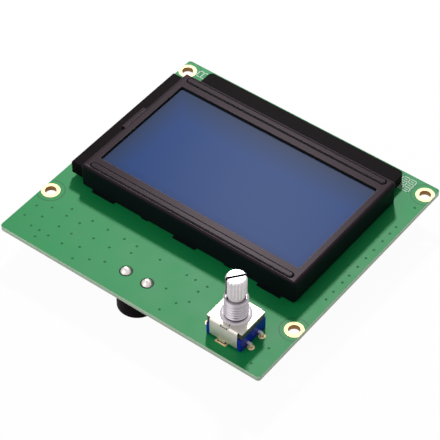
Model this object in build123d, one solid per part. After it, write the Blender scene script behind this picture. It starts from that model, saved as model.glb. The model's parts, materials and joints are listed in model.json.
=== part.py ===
from build123d import *
import math
import os

# Graphic display board with a rotary push control and a buzzer, in millimetres.
# The origin is the centre of the four mounting holes, on the board's front face.
# X runs along the long side, Y up the screen and Z out of the screen.

# Circuit board
hole_pitch_x = 88.0
hole_pitch_y = 65.0
side_margin = 2.5
top_margin = 4.3
bottom_margin = 19.6
board_thickness = 1.6
board_corner_radius = 1.0
mounting_hole_radius = 1.75
plating_thickness = 0.05
land_radius = 2.85
land_thickness = 0.05
solder_clearance = 0.2
slot_clearance = 0.15

# Bezel, a pressed steel can
bezel_length = 77.0
bezel_depth = 50.0
bezel_height = 8.0
sheet = 0.5
bend_radius = 1.0
can_corner_radius = 1.0
window_side_border = 2.75
window_near_border = 5.65
window_corner_radius = 0.6
rib_end_inset = 2.5
rib_width = 1.7
rib_height = 0.35
rib_inset = 2.3
rib_chamfer = 0.2
wall_lift = 0.4
foot_pitch = 30.0
foot_length = 8.0
foot_reach = 0.8
tab_pitch = 30.0
tab_width = 2.2
tab_length = 1.3
tab_twist = 35.0
hook_length = 9.7
hook_reach = 1.0
hook_round = 0.6

# Display glass and films, from the window downwards
gasket_thickness = 0.5
polariser_thickness = 0.2
glass_thickness = 1.1
diffuser_thickness = 0.2
glass_gap = 0.4
contact_ledge = 3.4
polariser_gap = 0.3

# Plastic frame and edge light
frame_gap = 0.2
frame_floor = 0.8
rail_width = 1.0
strip_width = 2.0
strip_gap = 0.4
strip_end_gap = 2.5
fit_clearance = 0.1
frame_end_wall = 1.2
rear_ledge_reach = 8.6
rear_ledge_height = 3.4
rear_ledge_side = 2.8
rear_ledge_round = 1.5
light_block_reach = 4.4
light_block_lift = 1.6
light_block_height = 4.6
light_block_inset = 1.1
light_block_wall = 0.8
light_block_round = 0.6
led_board_thickness = 0.6
led_count = 6
led_end_gap = 0.5
led_length = 3.0
led_depth = 0.9
led_height = 1.6
led_board_gap = 0.1
lead_pitch = 5.08
lead_radius = 0.3
pin_overhang = 1.2

# Rotary push control
control_x = 31.3
control_y = -42.25
case_length = 12.0
case_depth = 11.7
case_height = 7.0
case_sheet = 0.5
case_bend_radius = 0.7
case_cheek_length = 9.4
case_cheek_lift = 0.9
lug_shift = -0.5
lug_length = 2.1
lug_slot_clearance = 0.3
lug_land_width = 0.5
case_standoff = 0.1
standoff_width = 1.0
base_height = 4.6
base_inset = 0.15
cheek_gap = 0.15
locating_lug_length = 2.2
locating_lug_height = 0.6
locating_lug_shift = 0.5
bushing_radius = 3.5
bushing_length = 7.0
bushing_chamfer = 0.35
bushing_neck_radius = 3.9
thread_relief_radius = 3.15
thread_relief = 0.3
collar_radius = 4.5
collar_height = 0.35
shaft_radius = 3.0
shaft_length = 15.0
knurl_length = 6.3
knurl_teeth = 18
knurl_depth = 0.3
knurl_groove_share = 0.8
shaft_chamfer = 0.5
shaft_slot_width = 0.6
shaft_slot_depth = 5.2
shaft_slot_angle = 52.3
journal_radius = 2.5
running_clearance = 0.05
bushing_flange_radius = 4.7
bushing_flange = 0.45
shaft_flange_radius = 2.9
shaft_flange = 0.5
drive_radius = 1.9
drive_flat = 1.3
push_travel = 0.5
rotor_radius = 4.4
rotor_thickness = 0.9
rotor_rim_width = 1.2
rotor_hub_radius = 2.9
rotor_hub_length = 1.1
rotor_gap = 0.15
chamber_gap = 0.2
detent_count = 20
detent_depth = 0.25
detent_width = 0.4
spring_sheet = 0.2
spring_ledge = 0.3
dimple_height = 0.09
dimple_tip_radius = 0.2
plunger_radius = 2.45
plunger_flange = 0.6
plunger_boss_radius = 1.0
plunger_boss = 0.5
dome_radius = 2.35
dome_crown_radius = 1.3
dome_height = 0.75
dome_sheet = 0.12
well_floor = 0.6
push_gap = 0.05
terminal_width = 0.9
terminal_thickness = 0.35
terminal_height = 1.1
terminal_reach = 3.4
switch_pad = 0.25
rim_pad_x = 1.4
rim_pad_y = 0.95
signal_pitch = 2.5
signal_row = 7.5
switch_pitch = 5.0
switch_row = 7.0
pin_land_width = 0.55
pin_hole_radius = 0.5
solder_height = 0.8
solder_radius = 1.0

# Buzzer
buzzer_x = -2.65
buzzer_y = -43.7
buzzer_radius = 6.0
buzzer_height = 9.5
buzzer_wall = 0.8
buzzer_chamfer = 0.4
diaphragm_seat = 0.4
buzzer_hole_radius = 1.0
buzzer_base_thickness = 1.2
buzzer_pin_pitch = 7.6
buzzer_pin_radius = 0.35
diaphragm_thickness = 0.15
diaphragm_depth = 2.6
magnet_thickness = 3.0
magnet_wall = 1.2
coil_radius = 2.9
core_radius = 1.2
armature_gap = 0.4
joint_radius = 1.7
joint_height = 1.1
joint_land_width = 0.25
joint_pin_rise = 0.3
armature_radius = 1.8
armature_thickness = 0.5
magnet_gap = 0.2
coil_length = 4.0

# Box headers for the ribbon cables
header_pitch = 34.0
header_y = 15.0
header_columns = 5
pin_pitch = 2.54
shroud_length = 20.3
shroud_depth = 9.1
shroud_height = 9.0
shroud_wall = 1.3
shroud_floor = 2.4
shroud_standoff = 0.5
key_width = 4.5
key_drop = 6.0
header_pin_width = 0.64
header_pin_inset = 1.0
header_foot_overhang = 1.5

# Contrast trimmer
trimmer_x = 36.0
trimmer_y = -14.0
trimmer_length = 3.8
trimmer_depth = 3.6
trimmer_height = 1.1
trimmer_rotor_radius = 1.45
trimmer_rotor_height = 0.5
trimmer_pivot_radius = 0.5
trimmer_slot_length = 2.3
trimmer_slot_width = 0.5
trimmer_slot_depth = 0.3
trimmer_pivot_length = 0.7
trimmer_gap = 0.05

# Driver chips under resin, and small surface parts
driver_pitch = 25.0
driver_y = -3.0
driver_radius = 7.5
driver_height = 1.3
driver_shoulder_radius = 6.4
driver_shoulder_height = 0.85
driver_crown_radius = 3.6
regulator_x = -36.0
regulator_y = -18.0
regulator_length = 6.5
regulator_depth = 3.5
regulator_height = 1.6
regulator_tab = 3.0
regulator_lead_width = 0.7
regulator_lead_pitch = 2.3
regulator_lead_reach = 1.7
regulator_lead_thickness = 0.25
chip_length = 2.0
chip_depth = 1.25
resistor_height = 0.5
capacitor_height = 0.9
chip_count = 5
chip_pitch = 6.0
chip_row_x = -8.0
chip_row_inset = 3.0
chip_row_pitch = 5.0

# How far a cut runs past what it cuts, and how close to a level an edge counts as on it
overcut = 1.0
level_tolerance = 0.001

# Levels and outlines worked out from the sizes above
board_length = hole_pitch_x + 2 * side_margin
board_depth = hole_pitch_y + top_margin + bottom_margin
board_centre_y = (top_margin - bottom_margin) / 2
board_back = -board_thickness
can_half_x = bezel_length / 2
can_half_y = bezel_depth / 2
inner_length = bezel_length - 2 * sheet
inner_depth = bezel_depth - 2 * sheet
window_length = bezel_length - 2 * window_side_border
window_depth = bezel_depth - 2 * window_near_border
rib_length = bezel_length - 2 * rib_end_inset
rib_y = can_half_y - rib_inset
can_ceiling = bezel_height - sheet
front_glass_top = can_ceiling - gasket_thickness
rear_glass_top = front_glass_top - glass_thickness
rear_glass_bottom = rear_glass_top - glass_thickness
rear_film_bottom = rear_glass_bottom - polariser_thickness
guide_top = rear_film_bottom - diffuser_thickness
glass_length = inner_length - 2 * glass_gap
glass_depth = inner_depth - 2 * glass_gap
rear_glass_depth = glass_depth - 2 * contact_ledge
frame_length = inner_length - 2 * frame_gap
frame_depth = inner_depth - 2 * frame_gap
strip_y = rear_glass_depth / 2 + strip_gap + strip_width / 2
strip_length = glass_length - 2 * strip_end_gap
pocket_length = frame_length - 2 * frame_end_wall
pocket_depth = 2 * (strip_y - strip_width / 2 - fit_clearance - rail_width)
led_pitch = (pocket_depth - 2 * led_end_gap - led_length) / (led_count - 1)
film_length = pocket_length - 2 * fit_clearance
film_depth = pocket_depth - 2 * fit_clearance
ledge_half_x = can_half_x - rear_ledge_side
ledge_end_y = can_half_y + rear_ledge_reach
block_top = light_block_lift + light_block_height
block_end = -can_half_x - light_block_reach
block_half_y = can_half_y - light_block_inset
light_floor = light_block_lift + light_block_wall
light_ceiling = block_top - light_block_wall
led_board_x = block_end + light_block_wall + led_board_thickness / 2
led_face_x = led_board_x + led_board_thickness / 2 + led_depth
case_top = case_height
case_underside = case_height - case_sheet
bushing_top = case_top + bushing_length
bushing_bottom = case_underside - bushing_flange
spring_bottom = bushing_bottom - spring_sheet
bore_radius = journal_radius + running_clearance
shaft_top = case_top + shaft_length
knurl_bottom = shaft_top - knurl_length
shaft_flange_top = bushing_bottom - push_gap
shaft_flange_bottom = shaft_flange_top - shaft_flange
rotor_top = spring_bottom - rotor_gap
rotor_web_top = shaft_flange_bottom - push_travel - push_gap
rotor_bottom = rotor_web_top - rotor_thickness
hub_bottom = rotor_bottom - rotor_hub_length
chamber_radius = rotor_radius + chamber_gap
chamber_floor = rotor_bottom - push_gap
spring_radius = chamber_radius + spring_ledge
well_radius = plunger_radius + running_clearance
dome_top = well_floor + dome_height
plunger_top = dome_top + plunger_boss + plunger_flange
shaft_tip = plunger_top + push_gap
header_rim = board_back - shroud_height
capacitor_row_y = chip_row_inset - can_half_y
resistor_row_y = capacitor_row_y + chip_row_pitch


# A box between two levels, centred on x and y
def slab(length, depth, low, high, x=0.0, y=0.0):
    return Pos(x, y, (low + high) / 2) * Box(length, depth, high - low)


# A box between two corners
def block(x_low, x_high, y_low, y_high, low, high):
    centre = Pos((x_low + x_high) / 2, (y_low + y_high) / 2, (low + high) / 2)
    return centre * Box(x_high - x_low, y_high - y_low, high - low)


# An upright cylinder between two levels
def disc(radius, low, high, x=0.0, y=0.0):
    return Pos(x, y, (low + high) / 2) * Cylinder(radius, high - low)


def ring(outer, inner, low, high, x=0.0, y=0.0):
    return disc(outer, low, high, x, y) - disc(inner, low, high, x, y)


# A flat outline raised between two levels
def plate(outline, low, high):
    return Pos(0, 0, low) * extrude(outline, amount=high - low)


# The cap of a sphere, standing on a level
def cap(radius, height, level, x, y):
    ball_radius = (radius ** 2 + height ** 2) / (2 * height)
    ball = Pos(x, y, level + height - ball_radius) * Sphere(ball_radius)
    width = 2 * radius + overcut
    return ball & slab(width, width, level, level + height + overcut, x, y)


def top_edges(shape, level):
    return shape.edges().filter_by_position(Axis.Z, level - level_tolerance, level + level_tolerance)


def hole_places():
    for x in (-hole_pitch_x / 2, hole_pitch_x / 2):
        for y in (-hole_pitch_y / 2, hole_pitch_y / 2):
            yield x, y


def tab_places():
    for x in (-tab_pitch / 2, tab_pitch / 2):
        for side in (-1, 1):
            yield x, side * (can_half_y - sheet / 2)


def signal_places():
    for step in (-1, 0, 1):
        yield control_x - signal_row, control_y + step * signal_pitch


def switch_places():
    for side in (-1, 1):
        yield control_x + switch_row, control_y + side * switch_pitch / 2


def lug_places():
    for side in (-1, 1):
        yield control_x + lug_shift, control_y + side * (case_depth / 2 - case_sheet / 2)


def buzzer_pin_places():
    for side in (-1, 1):
        yield buzzer_x + side * buzzer_pin_pitch / 2, buzzer_y


def lead_places():
    for side in (-1, 1):
        yield led_board_x, side * lead_pitch / 2


def header_pin_places(header_x):
    for column in range(header_columns):
        for side in (-1, 1):
            x = header_x + (column - (header_columns - 1) / 2) * pin_pitch
            yield x, header_y + side * pin_pitch / 2, side


def board_outline(low, high):
    outline = Pos(0, board_centre_y) * RectangleRounded(board_length, board_depth, board_corner_radius)
    return plate(outline, low, high)


# Bare board with every hole and slot that a piece passes through
def make_circuit_board():
    board = board_outline(board_back, 0)
    for x, y in hole_places():
        board -= disc(mounting_hole_radius + plating_thickness, board_back, 0, x, y)
    for x, y in tab_places():
        board -= slab(tab_width + 2 * slot_clearance, sheet + 2 * slot_clearance, board_back, 0, x, y)
    for x, y in [*signal_places(), *switch_places()]:
        board -= disc(pin_hole_radius, board_back, 0, x, y)
    for x, y in lug_places():
        slot_length = lug_length + 2 * lug_slot_clearance
        slot_width = case_sheet + 2 * lug_slot_clearance
        board -= slab(slot_length, slot_width, board_back, 0, x, y)
    for x, y in buzzer_pin_places():
        board -= disc(buzzer_pin_radius + solder_clearance, board_back, 0, x, y)
    for x, y in lead_places():
        board -= disc(lead_radius + solder_clearance, board_back, 0, x, y)
    return board


# Plated mounting holes: a barrel with a land on each face, cut off where the board ends
def make_plated_holes():
    holes = []
    back_land = board_back - land_thickness
    limit = board_outline(back_land, land_thickness)
    for x, y in hole_places():
        barrel = mounting_hole_radius + plating_thickness
        hole = ring(barrel, mounting_hole_radius, board_back, 0, x, y)
        hole += ring(land_radius, mounting_hole_radius, 0, land_thickness, x, y)
        hole += ring(land_radius, mounting_hole_radius, back_land, board_back, x, y)
        holes.append(hole & limit)
    return holes


# Lands on the front face round the rotary control's pins and lugs, and the buzzer's joints
def make_pin_lands():
    lands = []
    for x, y in [*signal_places(), *switch_places()]:
        lands.append(ring(pin_hole_radius + pin_land_width, pin_hole_radius, 0, land_thickness, x, y))
    for x, y in lug_places():
        slot_length = lug_length + 2 * lug_slot_clearance
        slot_width = case_sheet + 2 * lug_slot_clearance
        land = slab(slot_length + 2 * lug_land_width, slot_width + 2 * lug_land_width, 0, land_thickness, x, y)
        land -= slab(slot_length, slot_width, 0, land_thickness, x, y)
        lands.append(land)
    for x, y in buzzer_pin_places():
        lands.append(ring(joint_radius + joint_land_width, joint_radius, 0, land_thickness, x, y))
    return lands


# Pressed steel can: window, two raised ribs, feet, twisted tabs and the hook over the light block
def make_bezel():
    outer = plate(RectangleRounded(bezel_length, bezel_depth, can_corner_radius), wall_lift, bezel_height)
    outer = fillet(top_edges(outer, bezel_height), bend_radius)
    inner_radius = can_corner_radius - sheet
    inner = plate(RectangleRounded(inner_length, inner_depth, inner_radius), wall_lift, can_ceiling)
    inner = chamfer(top_edges(inner, can_ceiling), bend_radius - sheet)
    can = outer - inner
    window = RectangleRounded(window_length, window_depth, window_corner_radius)
    can -= plate(window, can_ceiling, bezel_height)
    for side in (-1, 1):
        ridge = plate(Pos(0, side * rib_y) * SlotOverall(rib_length, rib_width), can_ceiling, bezel_height + rib_height)
        ridge = chamfer(top_edges(ridge, bezel_height + rib_height), rib_chamfer)
        can += ridge
        hollow_width = rib_width - sheet
        hollow = Pos(0, side * rib_y) * SlotOverall(rib_length - sheet, hollow_width)
        can -= plate(hollow, can_ceiling, can_ceiling + rib_height)
    far_wall_y = can_half_y - sheet
    can -= block(-ledge_half_x, ledge_half_x, far_wall_y, can_half_y, wall_lift, rear_ledge_height)
    light_gap_y = block_half_y + fit_clearance
    left_wall_x = -can_half_x + sheet
    can -= block(-can_half_x, left_wall_x, -light_gap_y, light_gap_y, wall_lift, block_top)
    hook = block(-can_half_x - hook_reach, left_wall_x, -hook_length / 2, hook_length / 2, block_top, bezel_height)
    hook -= block(-can_half_x - hook_reach + sheet, -can_half_x, -hook_length / 2, hook_length / 2,
                  block_top, can_ceiling)
    hook_edge = hook.edges().filter_by(Axis.Y).group_by(Axis.X)[0].sort_by(Axis.Z)[-1]
    can += fillet(hook_edge, hook_round)
    for step in (-1, 0, 1):
        foot_x = step * foot_pitch
        foot_y = -can_half_y - foot_reach / 2
        can += slab(foot_length, foot_reach, 0, sheet, foot_x, foot_y)
        can += slab(foot_length, sheet, 0, wall_lift + sheet, foot_x, -can_half_y + sheet / 2)
    for x, y in tab_places():
        neck_top = wall_lift if y < 0 else rear_ledge_height
        can += slab(tab_width, sheet, board_back, neck_top, x, y)
        tip = Pos(x, y, board_back - tab_length / 2) * Rot(0, 0, tab_twist) * Box(tab_width, sheet, tab_length)
        can += tip
    return can


# Soft frame between the can's ceiling and the glass, kept clear of the can's inner bend
def make_window_gasket():
    inset = bend_radius - sheet + fit_clearance
    gasket = slab(inner_length - 2 * inset, inner_depth - 2 * inset, front_glass_top, can_ceiling)
    window = RectangleRounded(window_length, window_depth, window_corner_radius)
    return gasket - plate(window, front_glass_top, can_ceiling)


def make_front_polariser():
    film = RectangleRounded(window_length - 2 * polariser_gap, window_depth - 2 * polariser_gap, window_corner_radius)
    return plate(film, front_glass_top, front_glass_top + polariser_thickness)


def make_front_glass():
    return slab(glass_length, glass_depth, rear_glass_top, front_glass_top)


def make_rear_glass():
    return slab(glass_length, rear_glass_depth, rear_glass_bottom, rear_glass_top)


def make_rear_polariser():
    return slab(film_length, film_depth, rear_film_bottom, rear_glass_bottom)


def make_diffuser_sheet():
    return slab(film_length, film_depth, guide_top, rear_film_bottom)


# Clear slab behind the glass, with a thinner neck that reaches into the light block
def make_light_guide():
    guide = slab(film_length, film_depth, frame_floor, guide_top)
    neck_end = led_face_x + fit_clearance
    neck_low = light_floor + fit_clearance
    guide += block(neck_end, -film_length / 2, -film_depth / 2, film_depth / 2, neck_low, guide_top)
    return guide


# Rubber strips that join the glass to the board's contacts
def make_contact_strip(side):
    return slab(strip_length, strip_width, 0, rear_glass_top, 0, side * strip_y)


# Moulded carrier: pocket for the guide, slots for the strips, the light block and the far ledge
def make_display_frame():
    frame = slab(frame_length, frame_depth, 0, rear_glass_bottom)
    ledge = block(-ledge_half_x, ledge_half_x, frame_depth / 2 - frame_end_wall, ledge_end_y, 0, rear_ledge_height)
    ledge_corners = ledge.edges().filter_by(Axis.Z).group_by(Axis.Y)[-1]
    frame += fillet(ledge_corners, rear_ledge_round)
    light_block = block(block_end, -frame_length / 2, -block_half_y, block_half_y, light_block_lift, block_top)
    outer_edges = light_block.edges().filter_by(Axis.Y).group_by(Axis.X)[0].sort_by(Axis.Z)[-1:]
    frame += fillet(outer_edges, light_block_round)
    frame -= slab(pocket_length, pocket_depth, frame_floor, rear_glass_bottom)
    cavity_start = block_end + light_block_wall
    half_pocket = pocket_depth / 2
    frame -= block(cavity_start, -frame_length / 2, -half_pocket, half_pocket, light_floor, light_ceiling)
    frame -= block(-frame_length / 2, -pocket_length / 2, -half_pocket, half_pocket, light_floor, rear_glass_bottom)
    slot_length = strip_length + 2 * fit_clearance
    slot_width = strip_width + 2 * fit_clearance
    for side in (-1, 1):
        frame -= slab(slot_length, slot_width, 0, rear_glass_bottom, 0, side * strip_y)
    for x, y in tab_places():
        if y > 0:
            frame -= slab(tab_width + 2 * slot_clearance, sheet + 2 * slot_clearance, 0, rear_ledge_height, x, y)
    for x, y in lead_places():
        frame -= disc(lead_radius + fit_clearance, light_block_lift, light_floor, x, y)
    return frame


def make_led_board():
    low = light_floor
    high = light_ceiling - led_board_gap
    return slab(led_board_thickness, pocket_depth - 2 * fit_clearance, low, high, led_board_x)


def make_led_chips():
    chips = []
    middle = (light_floor + fit_clearance + guide_top) / 2
    for step in range(led_count):
        y = (step - (led_count - 1) / 2) * led_pitch
        chips.append(slab(led_depth, led_length, middle - led_height / 2, middle + led_height / 2,
                          led_face_x - led_depth / 2, y))
    return chips


def make_backlight_leads():
    return [disc(lead_radius, board_back - pin_overhang, light_floor, x, y) for x, y in lead_places()]


# Terminal of the rotary control: down through the board, over, and into the moulded base
def make_terminal(x, y, inward, pad):
    middle = x + inward * (terminal_thickness / 2)
    foot_top = terminal_height + terminal_thickness
    pin = slab(terminal_thickness, terminal_width, board_back - pin_overhang, foot_top, x, y)
    far_end = middle + inward * pad
    foot = block(min(x, far_end), max(x, far_end), y - terminal_width / 2, y + terminal_width / 2,
                 terminal_height, foot_top)
    return pin + foot, far_end


def make_signal_terminals():
    terminals = []
    for x, y in signal_places():
        terminal, end_x = make_terminal(x, y, 1, terminal_reach)
        riser_x = end_x - terminal_thickness / 2
        terminal += slab(terminal_thickness, terminal_width, terminal_height, chamber_floor, riser_x, y)
        terminals.append(terminal)
    return terminals


# One terminal ends under the dome's rim and the other under its middle
def make_switch_terminals():
    terminals = []
    pad_low = well_floor - switch_pad
    for x, y in switch_places():
        side = 1 if y > control_y else -1
        reach = switch_row - dome_radius - terminal_width - terminal_thickness
        terminal, end_x = make_terminal(x, y, -1, reach)
        terminal += slab(terminal_thickness, terminal_width, pad_low, terminal_height + terminal_thickness,
                         end_x + terminal_thickness / 2, y)
        pad_x = control_x + (rim_pad_x if side > 0 else 0)
        pad_y = control_y + (rim_pad_y if side > 0 else -terminal_width / 2)
        terminal += block(pad_x - terminal_width / 2, end_x + terminal_thickness, y - terminal_width / 2,
                          y + terminal_width / 2, pad_low, well_floor)
        terminal += block(pad_x - terminal_width / 2, pad_x + terminal_width / 2, min(y, pad_y), max(y, pad_y),
                          pad_low, well_floor)
        terminals.append(terminal)
    return terminals


# Moulded base: well for the push switch, bearing for the rotor's hub and floor of its chamber
def make_control_base(terminals):
    length = case_length - 2 * base_inset
    depth = case_depth - 2 * base_inset
    base = slab(length, depth, case_standoff, base_height, control_x, control_y)
    cheek_room = case_sheet + cheek_gap
    for side in (-1, 1):
        edge_y = control_y + side * (case_depth / 2 - cheek_room / 2)
        base -= slab(case_cheek_length + 2 * cheek_gap, cheek_room, case_standoff, base_height, control_x, edge_y)
        for end in (-1, 1):
            foot_x = control_x + end * (length / 2 - standoff_width / 2)
            foot_y = control_y + side * (case_depth / 2 - cheek_room - standoff_width / 2)
            base += slab(standoff_width, standoff_width, 0, case_standoff, foot_x, foot_y)
    base -= disc(well_radius, well_floor, base_height, control_x, control_y)
    base -= disc(rotor_hub_radius + running_clearance, hub_bottom - push_gap, base_height, control_x, control_y)
    base -= disc(chamber_radius, chamber_floor, base_height, control_x, control_y)
    for terminal in terminals:
        base -= terminal
    return base


# Upper housing round the rotor, with a step that carries the detent spring
def make_control_housing():
    length = case_length - 2 * base_inset
    depth = case_depth - 2 * case_sheet - 2 * cheek_gap
    housing = slab(length, depth, base_height, case_underside, control_x, control_y)
    housing -= disc(chamber_radius, base_height, spring_bottom, control_x, control_y)
    housing -= disc(spring_radius, spring_bottom, case_underside, control_x, control_y)
    return housing


# Folded steel cover: flat top, a cheek down each side and a lug through the board on each cheek
def make_control_cover():
    half = case_depth / 2
    outline = Polyline(
        (-half, case_cheek_lift),
        (-half, case_top),
        (half, case_top),
        (half, case_cheek_lift),
        (half - case_sheet, case_cheek_lift),
        (half - case_sheet, case_underside),
        (-half + case_sheet, case_underside),
        (-half + case_sheet, case_cheek_lift),
        close=True,
    )
    channel = extrude(Plane.YZ * make_face(outline), amount=case_cheek_length / 2, both=True)
    channel = fillet(top_edges(channel, case_top).filter_by(Axis.X), case_bend_radius)
    flat_depth = case_depth - 2 * case_bend_radius
    cover = channel + slab(case_length, flat_depth, case_underside, case_top)
    cover -= disc(bushing_neck_radius, case_underside, case_top)
    cover += slab(locating_lug_length, case_sheet, case_top - case_bend_radius, case_top + locating_lug_height,
                  locating_lug_shift, -half + case_sheet / 2)
    cover = Pos(control_x, control_y, 0) * cover
    for x, y in lug_places():
        cover += slab(lug_length, case_sheet, board_back - pin_overhang, case_cheek_lift, x, y)
    return cover


# Bushing: flange under the cover, neck through it, collar over it, relief under the thread and a smooth bore
def make_control_bushing():
    collar_top = case_top + collar_height
    bushing = disc(bushing_radius, collar_top + thread_relief, bushing_top)
    bushing = chamfer(top_edges(bushing, bushing_top), bushing_chamfer)
    bushing += disc(thread_relief_radius, collar_top, collar_top + thread_relief)
    bushing += disc(collar_radius, case_top, collar_top)
    bushing += disc(bushing_neck_radius, case_underside, case_top)
    bushing += disc(bushing_flange_radius, bushing_bottom, case_underside)
    bushing -= disc(bore_radius, bushing_bottom, bushing_top)
    return Pos(control_x, control_y, 0) * bushing


# Shaft: split and knurled head, journal, flange that stops it under the bushing, and a flatted drive end
def make_control_shaft():
    head = disc(shaft_radius, knurl_bottom, shaft_top)
    head = chamfer(top_edges(head, shaft_top), shaft_chamfer)
    groove_width = 2 * math.pi * shaft_radius / knurl_teeth * knurl_groove_share
    groove_outline = make_face(Polyline(
        (shaft_radius - knurl_depth, 0),
        (shaft_radius + knurl_depth, groove_width),
        (shaft_radius + knurl_depth, -groove_width),
        close=True,
    ))
    groove = plate(groove_outline, knurl_bottom, shaft_top)
    for tooth in range(knurl_teeth):
        head -= Rot(0, 0, tooth * 360 / knurl_teeth) * groove
    split = slab(2 * shaft_radius + overcut, shaft_slot_width, shaft_top - shaft_slot_depth, shaft_top)
    head -= Rot(0, 0, shaft_slot_angle) * split
    shaft = head + disc(journal_radius, shaft_flange_top, knurl_bottom)
    shaft += disc(shaft_flange_radius, shaft_flange_bottom, shaft_flange_top)
    drive = disc(drive_radius, shaft_tip, shaft_flange_bottom)
    shaft += drive & slab(2 * drive_flat, 2 * drive_radius, shaft_tip, shaft_flange_bottom)
    return Pos(control_x, control_y, 0) * shaft


# Rotor: hub that slides on the drive end, web under the shaft's flange and a rim with detent notches
def make_control_rotor():
    rotor = disc(rotor_radius, rotor_bottom, rotor_top)
    rotor -= disc(rotor_radius - rotor_rim_width, rotor_web_top, rotor_top)
    rotor += disc(rotor_hub_radius, hub_bottom, rotor_bottom)
    bore = disc(drive_radius + running_clearance, hub_bottom, rotor_web_top)
    bore &= slab(2 * (drive_flat + running_clearance), 2 * drive_radius + overcut, hub_bottom, rotor_web_top)
    rotor -= bore
    rim_middle = rotor_radius - rotor_rim_width / 2
    notch = slab(rotor_rim_width + overcut, detent_width, rotor_top - detent_depth, rotor_top, rim_middle)
    for step in range(detent_count):
        rotor -= Rot(0, 0, step * 360 / detent_count) * notch
    return Pos(control_x, control_y, 0) * rotor


def make_detent_spring():
    inner = rotor_radius - rotor_rim_width
    spring = ring(spring_radius - running_clearance, inner, spring_bottom, bushing_bottom)
    dimple_x = rotor_radius - rotor_rim_width / 2
    for side in (-1, 1):
        dimple = Cone(dimple_tip_radius, detent_width, dimple_height)
        spring += Pos(side * dimple_x, 0, spring_bottom - dimple_height / 2) * dimple
    return Pos(control_x, control_y, 0) * spring


def make_switch_dome():
    outer = Cone(dome_radius, dome_crown_radius, dome_height)
    inner_height = dome_height - dome_sheet
    inner = Cone(dome_radius - dome_sheet, dome_crown_radius - dome_sheet, inner_height)
    dome = Pos(0, 0, dome_height / 2) * outer - Pos(0, 0, inner_height / 2) * inner
    return Pos(control_x, control_y, well_floor) * dome


def make_switch_plunger():
    flange_low = dome_top + plunger_boss
    plunger = disc(plunger_boss_radius, dome_top, flange_low, control_x, control_y)
    return plunger + disc(plunger_radius, flange_low, plunger_top, control_x, control_y)


# Soldered joints of the rotary control on the board's back
def make_control_solder(terminals, cover):
    joints = []
    tip_radius = solder_radius / 2
    for x, y in [*signal_places(), *switch_places()]:
        cone = Pos(x, y, board_back - solder_height / 2) * Cone(tip_radius, solder_radius, solder_height)
        joints.append(cone)
    for x, y in lug_places():
        joint = slab(lug_length + 2 * lug_slot_clearance, 2 * solder_radius, board_back - solder_height, board_back,
                     x, y)
        joints.append(chamfer(joint.faces().sort_by(Axis.Z)[0].edges(), solder_height / 2))
    pins = [*terminals, cover]
    for index, joint in enumerate(joints):
        for pin in pins:
            joint -= pin
        joints[index] = joint
    return joints


# Buzzer: moulded case with a sound hole, closed by a base that carries the coil
def make_buzzer_case():
    low = board_back - buzzer_height
    case = disc(buzzer_radius, low, board_back, buzzer_x, buzzer_y)
    case = chamfer(top_edges(case, low), buzzer_chamfer)
    seat = low + diaphragm_depth
    inner = buzzer_radius - buzzer_wall
    case -= disc(inner, seat, board_back, buzzer_x, buzzer_y)
    case -= disc(inner - diaphragm_seat, low + buzzer_wall, seat, buzzer_x, buzzer_y)
    case -= disc(buzzer_hole_radius, low, low + buzzer_wall, buzzer_x, buzzer_y)
    return case


def buzzer_inner_radius():
    return buzzer_radius - buzzer_wall - running_clearance


def make_buzzer_base():
    low = board_back - buzzer_base_thickness
    base = disc(buzzer_inner_radius(), low, board_back, buzzer_x, buzzer_y)
    for x, y in buzzer_pin_places():
        base -= disc(buzzer_pin_radius, low, board_back, x, y)
    return base


def make_buzzer_magnet():
    high = board_back - buzzer_base_thickness
    outer = buzzer_inner_radius() - magnet_gap
    return ring(outer, outer - magnet_wall, high - magnet_thickness, high, buzzer_x, buzzer_y)


def make_buzzer_core():
    high = board_back - buzzer_base_thickness
    seat = board_back - buzzer_height + diaphragm_depth
    low = seat + diaphragm_thickness + armature_thickness + armature_gap
    return disc(core_radius, low, high, buzzer_x, buzzer_y)


def make_buzzer_coil():
    high = board_back - buzzer_base_thickness
    return ring(coil_radius, core_radius, high - coil_length, high, buzzer_x, buzzer_y)


def make_buzzer_diaphragm():
    seat = board_back - buzzer_height + diaphragm_depth
    high = seat + diaphragm_thickness
    diaphragm = disc(buzzer_inner_radius(), seat, high, buzzer_x, buzzer_y)
    return diaphragm + disc(armature_radius, high, high + armature_thickness, buzzer_x, buzzer_y)


def make_buzzer_pins():
    low = board_back - buzzer_base_thickness
    return [disc(buzzer_pin_radius, low, joint_height + joint_pin_rise, x, y) for x, y in buzzer_pin_places()]


def make_buzzer_solder():
    joints = []
    for x, y in buzzer_pin_places():
        joint = cap(joint_radius, joint_height, 0, x, y)
        joints.append(joint - disc(buzzer_pin_radius, 0, joint_height, x, y))
    return joints


# Shrouded header, open away from the board, with a key gap in its outer wall
def make_header_shroud(header_x):
    top = board_back - shroud_standoff
    floor = top - shroud_floor
    shroud = slab(shroud_length, shroud_depth, header_rim, top, header_x, header_y)
    inner_x = shroud_length - 2 * shroud_wall
    inner_y = shroud_depth - 2 * shroud_wall
    shroud -= slab(inner_x, inner_y, header_rim, floor, header_x, header_y)
    key_y = header_y + shroud_depth / 2 - shroud_wall / 2
    shroud -= slab(key_width, shroud_wall, header_rim, header_rim + key_drop, header_x, key_y)
    for end in (-1, 1):
        foot_x = header_x + end * (shroud_length / 2 - shroud_wall / 2)
        shroud += slab(shroud_wall, shroud_depth, top, board_back, foot_x, header_y)
    for x, y, side in header_pin_places(header_x):
        shroud -= slab(header_pin_width, header_pin_width, floor, top, x, y)
    return shroud


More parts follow.
